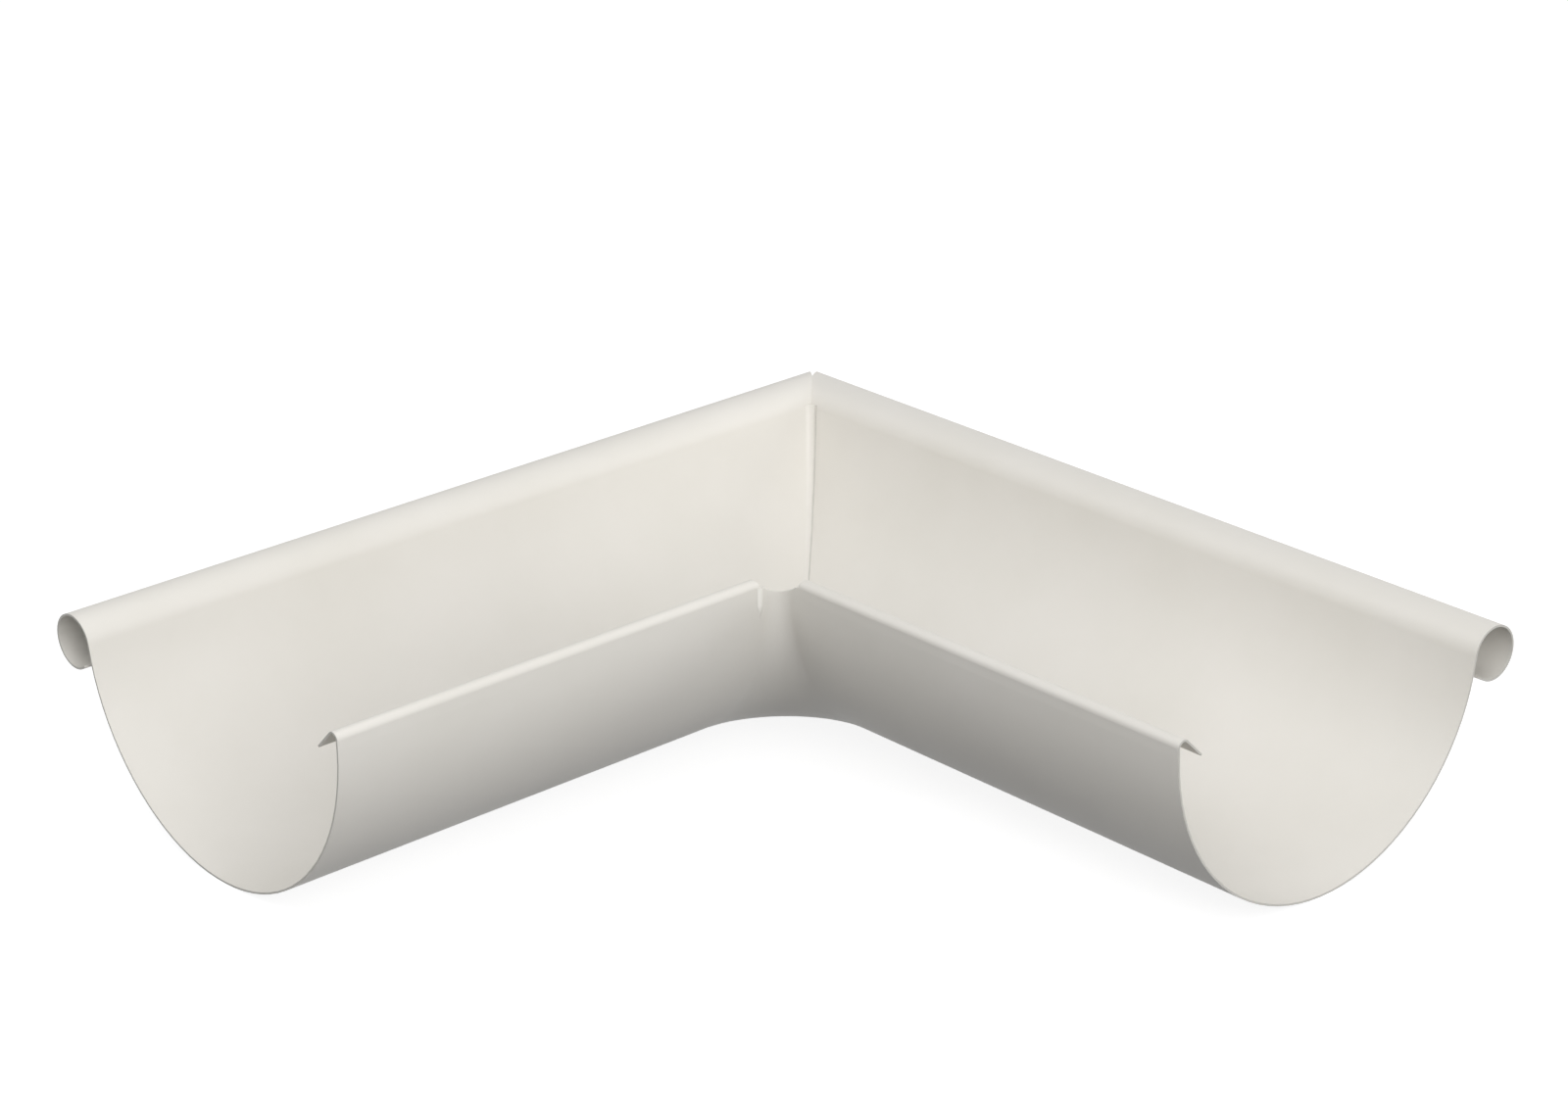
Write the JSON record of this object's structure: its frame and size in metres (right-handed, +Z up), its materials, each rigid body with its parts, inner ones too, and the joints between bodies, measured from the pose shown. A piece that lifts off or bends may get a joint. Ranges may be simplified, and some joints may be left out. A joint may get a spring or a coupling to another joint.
{
  "type": "gutter external angle",
  "caption": "Outside corner for a half-round roof gutter: two arms at a right angle, rolled bead on the outer rim, folded inner rim.",
  "frame": {"origin": "bottom centre of the bounding box, under the inner corner", "axes": "+Z up as installed, arms along +X and +Y, beaded outer rim towards -X and -Y"},
  "size_m": [0.3042, 0.3042, 0.0684],
  "materials": {
    "coated_steel": "satin"
  },
  "bodies": {
    "root": {"gutter_angle": "coated_steel"}
  },
  "joints": []
}
